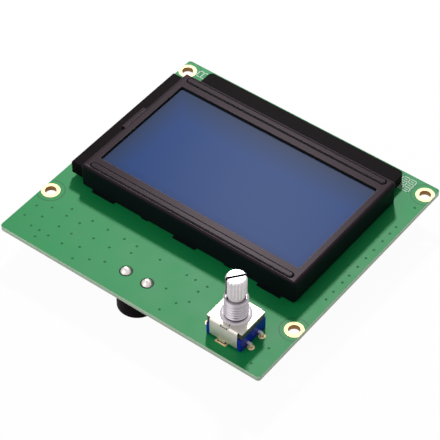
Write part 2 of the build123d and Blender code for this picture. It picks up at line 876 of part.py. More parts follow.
def make_header_pins(header_x):
    pins = []
    tip = header_rim + header_pin_inset
    foot_end = shroud_depth / 2 + header_foot_overhang
    for x, y, side in header_pin_places(header_x):
        pin = slab(header_pin_width, header_pin_width, tip, board_back, x, y)
        outer_y = header_y + side * foot_end
        foot_low = board_back - header_pin_width / 2
        pin += block(x - header_pin_width / 2, x + header_pin_width / 2, min(y, outer_y), max(y, outer_y),
                     foot_low, board_back)
        pins.append(pin)
    return pins


def make_trimmer_body():
    low = board_back - trimmer_height
    body = slab(trimmer_length, trimmer_depth, low, board_back, trimmer_x, trimmer_y)
    pivot = trimmer_pivot_radius + running_clearance
    return body - disc(pivot, low, low + trimmer_pivot_length, trimmer_x, trimmer_y)


def make_trimmer_rotor():
    high = board_back - trimmer_height - trimmer_gap
    low = high - trimmer_rotor_height
    rotor = disc(trimmer_rotor_radius, low, high, trimmer_x, trimmer_y)
    pivot_top = high + trimmer_pivot_length - trimmer_gap
    rotor += disc(trimmer_pivot_radius, high, pivot_top, trimmer_x, trimmer_y)
    for turn in (0, 90):
        slot = Box(trimmer_slot_length, trimmer_slot_width, trimmer_slot_depth)
        rotor -= Pos(trimmer_x, trimmer_y, low + trimmer_slot_depth / 2) * Rot(0, 0, turn) * slot
    return rotor


# Bare driver chip under a drop of resin, steep at its rim and nearly flat on top
def make_driver(step):
    profile = make_face(Polyline(
        (0, 0),
        (driver_radius, 0),
        (driver_shoulder_radius, -driver_shoulder_height),
        (driver_crown_radius, -driver_height),
        (0, -driver_height),
        close=True,
    ))
    drop = revolve(Plane.XZ * profile, Axis.Z)
    return Pos(step * driver_pitch, driver_y, board_back) * drop


def make_regulator():
    low = board_back - regulator_height
    body = slab(regulator_length, regulator_depth, low, board_back - regulator_lead_thickness,
                regulator_x, regulator_y)
    lead_low = board_back - regulator_lead_thickness
    reach = regulator_depth / 2 + regulator_lead_reach
    for step in (-1, 0, 1):
        x = regulator_x + step * regulator_lead_pitch
        body += block(x - regulator_lead_width / 2, x + regulator_lead_width / 2, regulator_y - reach, regulator_y,
                      lead_low, board_back)
    body += block(regulator_x - regulator_tab / 2, regulator_x + regulator_tab / 2, regulator_y,
                  regulator_y + reach, lead_low, board_back)
    return body


def make_chip(column, row_y, height):
    x = chip_row_x + column * chip_pitch
    return slab(chip_length, chip_depth, board_back - height, board_back, x, row_y)


def build_all():
    signal_terminals = make_signal_terminals()
    switch_terminals = make_switch_terminals()
    terminals = signal_terminals + switch_terminals
    cover = make_control_cover()
    pieces = {
        "circuit_board": make_circuit_board(),
        "plated_holes": make_plated_holes(),
        "pin_lands": make_pin_lands(),
        "bezel": make_bezel(),
        "window_gasket": make_window_gasket(),
        "front_polariser": make_front_polariser(),
        "front_glass": make_front_glass(),
        "rear_glass": make_rear_glass(),
        "rear_polariser": make_rear_polariser(),
        "diffuser_sheet": make_diffuser_sheet(),
        "light_guide": make_light_guide(),
        "display_frame": make_display_frame(),
        "led_board": make_led_board(),
        "led_chips": make_led_chips(),
        "backlight_leads": make_backlight_leads(),
        "contact_strip_near": make_contact_strip(-1),
        "contact_strip_far": make_contact_strip(1),
        "control_base": make_control_base(terminals),
        "control_housing": make_control_housing(),
        "control_cover": cover,
        "control_bushing": make_control_bushing(),
        "control_shaft": make_control_shaft(),
        "control_rotor": make_control_rotor(),
        "detent_spring": make_detent_spring(),
        "signal_terminals": signal_terminals,
        "switch_terminals": switch_terminals,
        "switch_dome": make_switch_dome(),
        "switch_plunger": make_switch_plunger(),
        "control_solder": make_control_solder(terminals, cover),
        "buzzer_case": make_buzzer_case(),
        "buzzer_base": make_buzzer_base(),
        "buzzer_magnet": make_buzzer_magnet(),
        "buzzer_core": make_buzzer_core(),
        "buzzer_coil": make_buzzer_coil(),
        "buzzer_diaphragm": make_buzzer_diaphragm(),
        "buzzer_pins": make_buzzer_pins(),
        "buzzer_solder": make_buzzer_solder(),
        "header_left_shroud": make_header_shroud(-header_pitch / 2),
        "header_left_pins": make_header_pins(-header_pitch / 2),
        "header_right_shroud": make_header_shroud(header_pitch / 2),
        "header_right_pins": make_header_pins(header_pitch / 2),
        "trimmer_body": make_trimmer_body(),
        "trimmer_rotor": make_trimmer_rotor(),
        "driver_left": make_driver(-1),
        "driver_centre": make_driver(0),
        "driver_right": make_driver(1),
        "regulator": make_regulator(),
    }
    for column in range(chip_count):
        pieces[f"chip_resistor_{column + 1}"] = make_chip(column, resistor_row_y, resistor_height)
        pieces[f"chip_capacitor_{column + 1}"] = make_chip(column, capacitor_row_y, capacitor_height)
    return pieces


def export_all(pieces):
    os.makedirs("parts", exist_ok=True)
    for name, shape in pieces.items():
        if isinstance(shape, list):
            shape = Compound(children=[solid for item in shape for solid in item.solids()])
        shape.label = name
        export_step(shape, f"parts/{name}.step")


export_all(build_all())
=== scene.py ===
import bpy
import json
import math
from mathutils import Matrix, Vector


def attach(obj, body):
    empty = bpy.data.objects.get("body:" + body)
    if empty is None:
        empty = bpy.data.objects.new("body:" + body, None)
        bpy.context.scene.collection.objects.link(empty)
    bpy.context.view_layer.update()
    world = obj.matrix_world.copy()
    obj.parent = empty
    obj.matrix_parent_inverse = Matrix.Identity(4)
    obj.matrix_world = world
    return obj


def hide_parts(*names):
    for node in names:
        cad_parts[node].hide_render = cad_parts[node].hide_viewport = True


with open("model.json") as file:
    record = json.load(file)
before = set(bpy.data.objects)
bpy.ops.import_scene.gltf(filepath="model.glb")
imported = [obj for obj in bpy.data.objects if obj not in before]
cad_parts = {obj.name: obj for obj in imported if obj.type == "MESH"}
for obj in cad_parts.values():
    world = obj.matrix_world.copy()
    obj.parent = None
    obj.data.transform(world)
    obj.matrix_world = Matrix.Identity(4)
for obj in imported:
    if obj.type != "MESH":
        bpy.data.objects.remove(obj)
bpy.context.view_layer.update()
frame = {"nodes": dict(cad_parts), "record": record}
nodes = frame["nodes"]
mm = 0.001
boardBack = -1.6  # the board's rear face in mm, its front face is at zero
controlCentre = (31.3, -42.25)  # the rotary control's axis
print("frame loaded:", len(nodes), "nodes")


# An sRGB hex colour as linear light
def linearColour(hexText):
    channels = [int(hexText[i:i + 2], 16) / 255 for i in (1, 3, 5)]
    return [c / 12.92 if c <= 0.04045 else ((c + 0.055) / 1.055) ** 2.4 for c in channels] + [1.0]


# A node with its settings and socket values, and with the sockets that run into it
def addNode(tree, kind, settings=None, links=None):
    node = tree.nodes.new(kind)
    for key, value in (settings or {}).items():
        if isinstance(key, str) and hasattr(node, key):
            setattr(node, key, value)
        else:
            node.inputs[key].default_value = value
    for key, socket in (links or {}).items():
        tree.links.new(socket, node.inputs[key])
    return node


def startMaterial(name):
    material = bpy.data.materials.new(name)
    material.use_nodes = True
    material.node_tree.nodes.clear()
    return material, material.node_tree


def endMaterial(tree, shader):
    addNode(tree, "ShaderNodeOutputMaterial", {}, {"Surface": shader.outputs[0]})


# A mask of the walls, the faces whose normal has less of the upright in it than the tilt
def wallMask(tree, tilt):
    facing = addNode(tree, "ShaderNodeNewGeometry")
    axes = addNode(tree, "ShaderNodeSeparateXYZ", {}, {0: facing.outputs["True Normal"]})
    upright = addNode(tree, "ShaderNodeMath", {"operation": "ABSOLUTE"}, {0: axes.outputs["Z"]})
    return addNode(tree, "ShaderNodeMath", {"operation": "LESS_THAN", 1: tilt}, {0: upright.outputs[0]})


# How far a softened edge turns before its painted highlight starts and is full, and what counts as a wall for
# the painted shade
edgeHighlightLook = {"flat": 0.985, "bent": 0.8, "wallTilt": 0.8}


# Painted highlight: where an edge turns above the look's highlight level, the colour goes towards the look's
# pale colour, which also stands for coat rubbed thin there.
# Painted shade: walls, their bends and all that lies below that level take the look's wall colour
def paintedEdgeHighlightAndShade(tree, place, look, colour, edge):
    facing = addNode(tree, "ShaderNodeNewGeometry")
    turn = addNode(tree, "ShaderNodeVectorMath", {"operation": "DOT_PRODUCT"}, {
        0: edge.outputs[0], 1: facing.outputs["True Normal"],
    })
    bent = addNode(tree, "ShaderNodeMapRange", {"From Min": edgeHighlightLook["flat"], "From Max": edgeHighlightLook["bent"]}, {
        "Value": turn.outputs["Value"],
    })
    axes = addNode(tree, "ShaderNodeSeparateXYZ", {}, {0: place})
    high = addNode(tree, "ShaderNodeMath", {"operation": "GREATER_THAN", 1: look["highlightAbove"] * mm}, {
        0: axes.outputs["Z"],
    })
    highlightMask = addNode(tree, "ShaderNodeMath", {"operation": "MULTIPLY"}, {
        0: bent.outputs[0], 1: high.outputs[0],
    })
    low = addNode(tree, "ShaderNodeMath", {"operation": "SUBTRACT", 0: 1.0}, {1: high.outputs[0]})
    wall = addNode(tree, "ShaderNodeMath", {"operation": "MAXIMUM"}, {
        0: wallMask(tree, edgeHighlightLook["wallTilt"]).outputs[0], 1: low.outputs[0],
    })
    base = addNode(tree, "ShaderNodeMix", {"data_type": "RGBA", 7: linearColour(look["wall"])}, {
        0: wall.outputs[0], 6: colour.outputs[2],
    })
    return addNode(tree, "ShaderNodeMix", {"data_type": "RGBA", 7: linearColour(look["paintedHighlight"])}, {
        0: highlightMask.outputs[0], 6: base.outputs[2],
    })


# What the surfaces share: octaves of noise, samples of a soft edge, how uneven the gloss is, how deep grain
# and tool lines are against their width, and the noise at which dark starts and ends to blend into light
shared = {
    "fineDetail": 3.0, "broadDetail": 2.0, "edgeSamples": 4, "uneven": 0.05, "metalUneven": 0.08,
    "grainDepth": 0.2, "lineDepth": 0.3, "blendFrom": 0.12, "blendTo": 0.4, "ior": 1.5, "gloss": 0.4,
}


# Moulded, cast, painted or printed surfaces: a grain in the skin, a little colour drift and a soft edge
def mouldedSurface(look):
    material, tree = startMaterial(look["name"])
    place = addNode(tree, "ShaderNodeTexCoord").outputs["Object"]
    grain = addNode(tree, "ShaderNodeTexNoise", {
        "Scale": 1 / (look["grain"] * mm), "Detail": shared["fineDetail"],
    }, {"Vector": place})
    drift = addNode(tree, "ShaderNodeTexNoise", {
        "Scale": 1 / (look["drift"] * mm), "Detail": shared["broadDetail"],
    }, {"Vector": place})
    both = addNode(tree, "ShaderNodeMath", {"operation": "MULTIPLY"}, {
        0: grain.outputs["Fac"], 1: drift.outputs["Fac"],
    })
    blend = addNode(tree, "ShaderNodeMapRange", {
        "From Min": shared["blendFrom"], "From Max": shared["blendTo"],
    }, {"Value": both.outputs[0]})
    colour = addNode(tree, "ShaderNodeMix", {
        "data_type": "RGBA", 6: linearColour(look["dark"]), 7: linearColour(look["light"]),
    }, {0: blend.outputs[0]})
    uneven = look.get("uneven", shared["uneven"])
    sheen = addNode(tree, "ShaderNodeMapRange", {
        "To Min": look["roughness"] - uneven, "To Max": look["roughness"] + uneven,
    }, {"Value": drift.outputs["Fac"]})
    edge = addNode(tree, "ShaderNodeBevel", {
        "samples": shared["edgeSamples"], "Radius": look["edge"] * mm,
    })
    # Painted highlight on the upper edges, painted shade on the walls and low parts
    if "paintedHighlight" in look:
        colour = paintedEdgeHighlightAndShade(tree, place, look, colour, edge)
    if "lean" in look:
        # Pressed sheet isn't quite flat, and a small lean of its normal moves the highlight
        edge = addNode(tree, "ShaderNodeVectorMath", {"operation": "ADD", 1: look["lean"]}, {
            0: edge.outputs[0],
        })
        edge = addNode(tree, "ShaderNodeVectorMath", {"operation": "NORMALIZE"}, {0: edge.outputs[0]})
    bump = addNode(tree, "ShaderNodeBump", {
        "Strength": look["bump"], "Distance": look["grain"] * mm * shared["grainDepth"],
    }, {"Height": grain.outputs["Fac"], "Normal": edge.outputs[0]})
    shader = addNode(tree, "ShaderNodeBsdfPrincipled", {
        "IOR": shared["ior"], "Specular IOR Level": look.get("gloss", shared["gloss"]),
        "Specular Tint": linearColour(look.get("tint", "#ffffff")),
    }, {"Base Color": colour.outputs[2], "Roughness": sheen.outputs[0], "Normal": bump.outputs[0]})
    endMaterial(tree, shader)
    return material


# A mask of the slot across the shaft's head and of its rims, which are darkened as painted shade
def slotShadeMask(tree, place, slotShade):
    centred = addNode(tree, "ShaderNodeMapping", {
        "vector_type": "TEXTURE", "Location": [value * mm for value in controlCentre] + [0.0],
        "Rotation": [0.0, 0.0, math.radians(slotShade["angle"])],
    }, {"Vector": place})
    axes = addNode(tree, "ShaderNodeSeparateXYZ", {}, {0: centred.outputs[0]})
    across = addNode(tree, "ShaderNodeMath", {"operation": "ABSOLUTE"}, {0: axes.outputs["Y"]})
    return addNode(tree, "ShaderNodeMath", {"operation": "LESS_THAN", 1: slotShade["half"] * mm}, {
        0: across.outputs[0],
    })


# Painted shade in the thread: the colour is darker the nearer a place is to the axis
def threadRootShade(tree, place, root, colour):
    offset = addNode(tree, "ShaderNodeVectorMath", {
        "operation": "SUBTRACT", 1: [value * mm for value in controlCentre] + [0.0],
    }, {0: place})
    flat = addNode(tree, "ShaderNodeVectorMath", {"operation": "MULTIPLY", 1: (1.0, 1.0, 0.0)}, {
        0: offset.outputs[0],
    })
    radius = addNode(tree, "ShaderNodeVectorMath", {"operation": "LENGTH"}, {0: flat.outputs[0]})
    deep = addNode(tree, "ShaderNodeMapRange", {
        "From Min": root["high"] * mm, "From Max": root["low"] * mm, "To Max": root["share"],
    }, {"Value": radius.outputs["Value"]})
    return addNode(tree, "ShaderNodeMix", {"data_type": "RGBA", 7: linearColour(root["colour"])}, {
        0: deep.outputs[0], 6: colour.outputs[2],
    })


# Metal with fine lines from rolling, drawing or turning, and a few rubbed spots
def workedMetal(look):
    material, tree = startMaterial(look["name"])
    place = addNode(tree, "ShaderNodeTexCoord").outputs["Object"]
    stretch = addNode(tree, "ShaderNodeMapping", {"Scale": look["stretch"]}, {"Vector": place})
    lines = addNode(tree, "ShaderNodeTexNoise", {
        "Scale": 1 / (look["line"] * mm), "Detail": shared["fineDetail"],
    }, {"Vector": stretch.outputs[0]})
    rub = addNode(tree, "ShaderNodeTexNoise", {
        "Scale": 1 / (look["rub"] * mm), "Detail": shared["broadDetail"],
    }, {"Vector": place})
    colour = addNode(tree, "ShaderNodeMix", {
        "data_type": "RGBA", 6: linearColour(look["dark"]), 7: linearColour(look["light"]),
    }, {0: rub.outputs["Fac"]})
    # A wall's own colour here is painted shade
    if "wall" in look:
        wall = look["wall"]
        colour = addNode(tree, "ShaderNodeMix", {"data_type": "RGBA", 7: linearColour(wall["colour"])}, {
            0: wallMask(tree, wall["tilt"]).outputs[0], 6: colour.outputs[2],
        })
    # Painted shade in the thread's roots
    if "root" in look:
        colour = threadRootShade(tree, place, look["root"], colour)
    # The slot's dark colour is painted shade
    if "slotShade" in look:
        slotShade = look["slotShade"]
        colour = addNode(tree, "ShaderNodeMix", {"data_type": "RGBA", 7: linearColour(slotShade["colour"])}, {
            0: slotShadeMask(tree, place, slotShade).outputs[0], 6: colour.outputs[2],
        })
    sheen = addNode(tree, "ShaderNodeMapRange", {
        "To Min": look["roughness"] - shared["metalUneven"],
        "To Max": look["roughness"] + shared["metalUneven"],
    }, {"Value": lines.outputs["Fac"]})
    edge = addNode(tree, "ShaderNodeBevel", {
        "samples": shared["edgeSamples"], "Radius": look["edge"] * mm,
    })
    bump = addNode(tree, "ShaderNodeBump", {
        "Strength": look["bump"], "Distance": look["line"] * mm * shared["lineDepth"],
    }, {"Height": lines.outputs["Fac"], "Normal": edge.outputs[0]})
    shader = addNode(tree, "ShaderNodeBsdfPrincipled", {"Metallic": 1.0}, {
        "Base Color": colour.outputs[2], "Roughness": sheen.outputs[0], "Normal": bump.outputs[0],
    })
    endMaterial(tree, shader)
    return material


# Clear sheets: light goes through, with a trace of haze
def clearSheet(look):
    material, tree = startMaterial(look["name"])
    place = addNode(tree, "ShaderNodeTexCoord").outputs["Object"]
    haze = addNode(tree, "ShaderNodeTexNoise", {
        "Scale": 1 / (look["haze"] * mm), "Detail": shared["broadDetail"],
    }, {"Vector": place})
    colour = addNode(tree, "ShaderNodeMix", {
        "data_type": "RGBA", 6: linearColour(look["dark"]), 7: linearColour(look["light"]),
    }, {0: haze.outputs["Fac"]})
    sheen = addNode(tree, "ShaderNodeMapRange", {
        "To Min": look["roughness"], "To Max": look["roughness"] + shared["uneven"],
    }, {"Value": haze.outputs["Fac"]})
    shader = addNode(tree, "ShaderNodeBsdfPrincipled", {
        "IOR": look["ior"], "Transmission Weight": look["through"],
    }, {"Base Color": colour.outputs[2], "Roughness": sheen.outputs[0]})
    endMaterial(tree, shader)
    return material


boardLook = {
    "name": "solder mask over glass laminate",
    "maskDark": "#0c8646", "maskLight": "#14904e", "drift": 9.0, "roughness": 0.46, "gloss": 0.19,
    "coreDark": "#a4b4a2", "coreLight": "#bcd6b8", "wallTilt": 0.5,
    "holeX": 44.0, "holeY": 32.5,
    "ringRadius": 4.2, "ringWidth": 0.2, "ringShade": 0.55, "ringColour": "#04461f",
    "ripple": 3.1416, "waveTurns": 20, "bump": 0.12, "depth": 0.01,  # a wave node turns 20 radians in a unit
}


# Solder mask is a satin lacquer that follows the cloth under it in a faint slow ripple,
# and the sawn edge is the pale laminate
def solderMaskOverLaminate():
    look = boardLook
    material, tree = startMaterial(look["name"])
    place = addNode(tree, "ShaderNodeTexCoord").outputs["Object"]
    drift = addNode(tree, "ShaderNodeTexNoise", {
        "Scale": 1 / (look["drift"] * mm), "Detail": shared["fineDetail"],
    }, {"Vector": place})
    mask = addNode(tree, "ShaderNodeMix", {
        "data_type": "RGBA", 6: linearColour(look["maskDark"]), 7: linearColour(look["maskLight"]),
    }, {0: drift.outputs["Fac"]})
    # The copper stops in a ring round each mounting hole, and the mask looks darker over the gap
    axes = addNode(tree, "ShaderNodeSeparateXYZ", {}, {0: place})
    sides = []
    for axis, distance in (("X", look["holeX"]), ("Y", look["holeY"])):
        size = addNode(tree, "ShaderNodeMath", {"operation": "ABSOLUTE"}, {0: axes.outputs[axis]})
        away = addNode(tree, "ShaderNodeMath", {"operation": "SUBTRACT", 1: distance * mm}, {
            0: size.outputs[0],
        })
        sides.append(addNode(tree, "ShaderNodeMath", {"operation": "POWER", 1: 2.0}, {0: away.outputs[0]}))
    total = addNode(tree, "ShaderNodeMath", {"operation": "ADD"}, {
        0: sides[0].outputs[0], 1: sides[1].outputs[0],
    })
    radius = addNode(tree, "ShaderNodeMath", {"operation": "SQRT"}, {0: total.outputs[0]})
    ring = addNode(tree, "ShaderNodeMath", {
        "operation": "COMPARE", 1: look["ringRadius"] * mm, 2: look["ringWidth"] * mm,
    }, {0: radius.outputs[0]})
    shade = addNode(tree, "ShaderNodeMath", {"operation": "MULTIPLY", 1: look["ringShade"]}, {
        0: ring.outputs[0],
    })
    face = addNode(tree, "ShaderNodeMix", {"data_type": "RGBA", 7: linearColour(look["ringColour"])}, {
        0: shade.outputs[0], 6: mask.outputs[2],
    })
    height = addNode(tree, "ShaderNodeMapRange", {"From Min": boardBack * mm, "From Max": 0.0}, {
        "Value": axes.outputs["Z"],
    })
    core = addNode(tree, "ShaderNodeMix", {
        "data_type": "RGBA", 6: linearColour(look["coreDark"]), 7: linearColour(look["coreLight"]),
    }, {0: height.outputs[0]})
    colour = addNode(tree, "ShaderNodeMix", {"data_type": "RGBA"}, {
        0: wallMask(tree, look["wallTilt"]).outputs[0], 6: face.outputs[2], 7: core.outputs[2],
    })
    ripples = [addNode(tree, "ShaderNodeTexWave", {
        "Scale": 2 * math.pi / (look["ripple"] * mm) / look["waveTurns"], "bands_direction": direction,
    }, {"Vector": place}) for direction in ("X", "Y")]
    cloth = addNode(tree, "ShaderNodeMath", {"operation": "ADD"}, {
        0: ripples[0].outputs["Fac"], 1: ripples[1].outputs["Fac"],
    })
    bump = addNode(tree, "ShaderNodeBump", {"Strength": look["bump"], "Distance": look["depth"] * mm}, {
        "Height": cloth.outputs[0],
    })
    sheen = addNode(tree, "ShaderNodeMapRange", {
        "To Min": look["roughness"] - shared["uneven"], "To Max": look["roughness"] + shared["uneven"],
    }, {"Value": drift.outputs["Fac"]})
    shader = addNode(tree, "ShaderNodeBsdfPrincipled", {
        "IOR": shared["ior"], "Specular IOR Level": look["gloss"],
    }, {"Base Color": colour.outputs[2], "Roughness": sheen.outputs[0], "Normal": bump.outputs[0]})
    endMaterial(tree, shader)
    return material


screenLook = {
    "name": "anti-glare polariser film",
    "field": "#1e407a", "dot": "#20427c", "border": "#1e3f78",
    "dotPitch": 0.52, "gapShare": 0.12, "activeX": 33.3, "activeY": 16.7,
    # The grey that the film fades to at its far and left borders is a painted reflection
    "paintedReflection": "#2b3548", "reflectionX": (-27.0, -36.5), "reflectionY": (8.0, 20.0), "reflectionShare": 0.8,
    "roughness": 0.34, "gloss": 0.03, "ior": 1.49,
    "bead": 0.06, "beadDetail": 1.0, "bump": 0.1, "depth": 0.01,
}


# The film is matt from fine beads, so it spreads reflections. The unlit dots show as a very faint grid
def antiGlareFilm():
    look = screenLook
    material, tree = startMaterial(look["name"])
    place = addNode(tree, "ShaderNodeTexCoord").outputs["Object"]
    axes = addNode(tree, "ShaderNodeSeparateXYZ", {}, {0: place})
    gaps = []
    inside = []
    for axis, reach in (("X", look["activeX"]), ("Y", look["activeY"])):
        step = addNode(tree, "ShaderNodeMath", {"operation": "DIVIDE", 1: look["dotPitch"] * mm}, {
            0: axes.outputs[axis],
        })
        part = addNode(tree, "ShaderNodeMath", {"operation": "FRACT"}, {0: step.outputs[0]})
        gaps.append(addNode(tree, "ShaderNodeMath", {"operation": "GREATER_THAN", 1: look["gapShare"]}, {
            0: part.outputs[0],
        }))
        size = addNode(tree, "ShaderNodeMath", {"operation": "ABSOLUTE"}, {0: axes.outputs[axis]})
        inside.append(addNode(tree, "ShaderNodeMath", {"operation": "LESS_THAN", 1: reach * mm}, {
            0: size.outputs[0],
        }))
    dot = addNode(tree, "ShaderNodeMath", {"operation": "MULTIPLY"}, {
        0: gaps[0].outputs[0], 1: gaps[1].outputs[0],
    })
    field = addNode(tree, "ShaderNodeMath", {"operation": "MULTIPLY"}, {
        0: inside[0].outputs[0], 1: inside[1].outputs[0],
    })
    dots = addNode(tree, "ShaderNodeMix", {
        "data_type": "RGBA", 6: linearColour(look["field"]), 7: linearColour(look["dot"]),
    }, {0: dot.outputs[0]})
    colour = addNode(tree, "ShaderNodeMix", {"data_type": "RGBA", 6: linearColour(look["border"])}, {
        0: field.outputs[0], 7: dots.outputs[2],
    })
    # Painted reflection: the film's colour greys towards its far and left borders
    reflectionRamps = []
    for axis, key in (("X", "reflectionX"), ("Y", "reflectionY")):
        start, full = look[key]
        reflectionRamps.append(addNode(tree, "ShaderNodeMapRange", {"From Min": start * mm, "From Max": full * mm}, {
            "Value": axes.outputs[axis],
        }))
    paintedReflection = addNode(tree, "ShaderNodeMath", {"operation": "MAXIMUM"}, {
        0: reflectionRamps[0].outputs[0], 1: reflectionRamps[1].outputs[0],
    })
    share = addNode(tree, "ShaderNodeMath", {"operation": "MULTIPLY", 1: look["reflectionShare"]}, {
        0: paintedReflection.outputs[0],
    })
    colour = addNode(tree, "ShaderNodeMix", {"data_type": "RGBA", 7: linearColour(look["paintedReflection"])}, {
        0: share.outputs[0], 6: colour.outputs[2],
    })
    beads = addNode(tree, "ShaderNodeTexNoise", {
        "Scale": 1 / (look["bead"] * mm), "Detail": look["beadDetail"],
    }, {"Vector": place})
    bump = addNode(tree, "ShaderNodeBump", {"Strength": look["bump"], "Distance": look["depth"] * mm}, {
        "Height": beads.outputs["Fac"],
    })
    shader = addNode(tree, "ShaderNodeBsdfPrincipled", {
        "IOR": look["ior"], "Specular IOR Level": look["gloss"], "Roughness": look["roughness"],
    }, {"Base Color": colour.outputs[2], "Normal": bump.outputs[0]})
    endMaterial(tree, shader)
    return material


# How the lines in a metal run, as a stretch of their noise
linesAlongX = (0.05, 1, 1)
linesAlongY = (1, 0.05, 1)
evenGrain = (1, 1, 1)
linesRound = (1, 1, 8)
windings = (1, 1, 12)

moulded = {
    # Electrocoat is an even black with a faint orange peel and a brown cast where light grazes it; a pale
    # painted highlight on its upper edges, partly coat rubbed thin, and painted shade with a painted green
    # reflection of the board on its walls and all below 7.2 mm
    "black_steel": {
        "name": "electrocoated pressed steel", "dark": "#2c2228", "light": "#32282e", "gloss": 0.027,
        "grain": 0.35, "drift": 7.0, "roughness": 0.29, "uneven": 0.01, "bump": 0.12, "edge": 0.22,
        "paintedHighlight": "#94888c", "highlightAbove": 7.2, "wall": "#121a1b", "lean": (0.006, 0.02, 0.0), "tint": "#ffe9f4",
    },
    # Closed cell foam is a dull black with fine pores
    "foam": {
        "name": "closed cell foam", "dark": "#0e0e0e", "light": "#1a1a1a", "gloss": 0.2,
        "grain": 0.25, "drift": 4.0, "roughness": 0.85, "bump": 0.6, "edge": 0.05,
    },
    # ABS moulded in a spark eroded tool has a fine matt grain
    "black_plastic": {
        "name": "spark grained black ABS", "dark": "#110c0f", "light": "#1b1517", "gloss": 0.012,
        "grain": 0.22, "drift": 6.0, "roughness": 0.45, "bump": 0.35, "edge": 0.1,
    },
    # Diffuser film is a soft milky white without any shine
    "white_film": {
        "name": "milky diffuser film", "dark": "#e6e6e2", "light": "#f4f4f0",
        "grain": 0.15, "drift": 8.0, "roughness": 0.7, "bump": 0.1, "edge": 0.02,
    },
    # White lacquer on laminate is a little grey and satin
    "white_laminate": {
        "name": "white faced laminate", "dark": "#d4d4ce", "light": "#e6e6e0",
        "grain": 0.3, "drift": 5.0, "roughness": 0.5, "bump": 0.1, "edge": 0.03,
    },
    # Phosphor colours the cast resin a warm yellow with a smooth skin
    "lamp_resin": {
        "name": "cast yellow phosphor resin", "dark": "#e6d98c", "light": "#f2e8a4",
        "grain": 0.08, "drift": 1.0, "roughness": 0.3, "bump": 0.1, "edge": 0.08,
    },
    # Contact rubber is grey and dull, with its layers just felt
    "contact_rubber": {
        "name": "layered contact rubber", "dark": "#4a4a4c", "light": "#6a6a6c",
        "grain": 0.2, "drift": 2.0, "roughness": 0.75, "bump": 0.3, "edge": 0.05,
    },
    # Nylon moulded with a blue dye has a wet look on its flats
    "blue_plastic": {
        "name": "dyed blue nylon", "dark": "#05209a", "light": "#0a2cae", "gloss": 0.2,
        "grain": 0.18, "drift": 3.0, "roughness": 0.4, "bump": 0.15, "edge": 0.08,
    },
    # Glass fibre makes the phenolic mottled and dull
    "grey_plastic": {
        "name": "glass filled grey-green phenolic", "dark": "#343d30", "light": "#434c3c", "gloss": 0.3,
        "grain": 0.14, "drift": 2.0, "roughness": 0.55, "bump": 0.3, "edge": 0.06,
    },
    # Acetal is an off-white with a waxy skin
    "white_plastic": {
        "name": "natural acetal", "dark": "#d8d8d2", "light": "#e8e8e2",
        "grain": 0.2, "drift": 3.0, "roughness": 0.4, "bump": 0.1, "edge": 0.05,
    },
    # Potting resin sets glossy, and dust under it gives the drop a slow ripple
    "black_resin": {
        "name": "potted black epoxy", "dark": "#0c0c0d", "light": "#161617", "gloss": 0.12,
        "grain": 1.6, "drift": 5.0, "roughness": 0.32, "bump": 0.25, "edge": 0.05,
    },
    # A resistor's glaze is black and smooth
    "black_ceramic": {
        "name": "glazed resistor body", "dark": "#121214", "light": "#1e1e20",
        "grain": 0.12, "drift": 1.0, "roughness": 0.35, "bump": 0.1, "edge": 0.06,
    },
    # Fired capacitor body: a sandy tan with a fine tooth
    "tan_ceramic": {
        "name": "fired barium titanate", "dark": "#9a7a54", "light": "#ad8c64",
        "grain": 0.08, "drift": 1.0, "roughness": 0.5, "bump": 0.2, "edge": 0.08,
    },
    # Pressed and fired powder is a dark grey with a gritty skin
    "ferrite": {
        "name": "sintered ferrite", "dark": "#262626", "light": "#363636",
        "grain": 0.1, "drift": 2.0, "roughness": 0.7, "bump": 0.4, "edge": 0.08,
    },
}

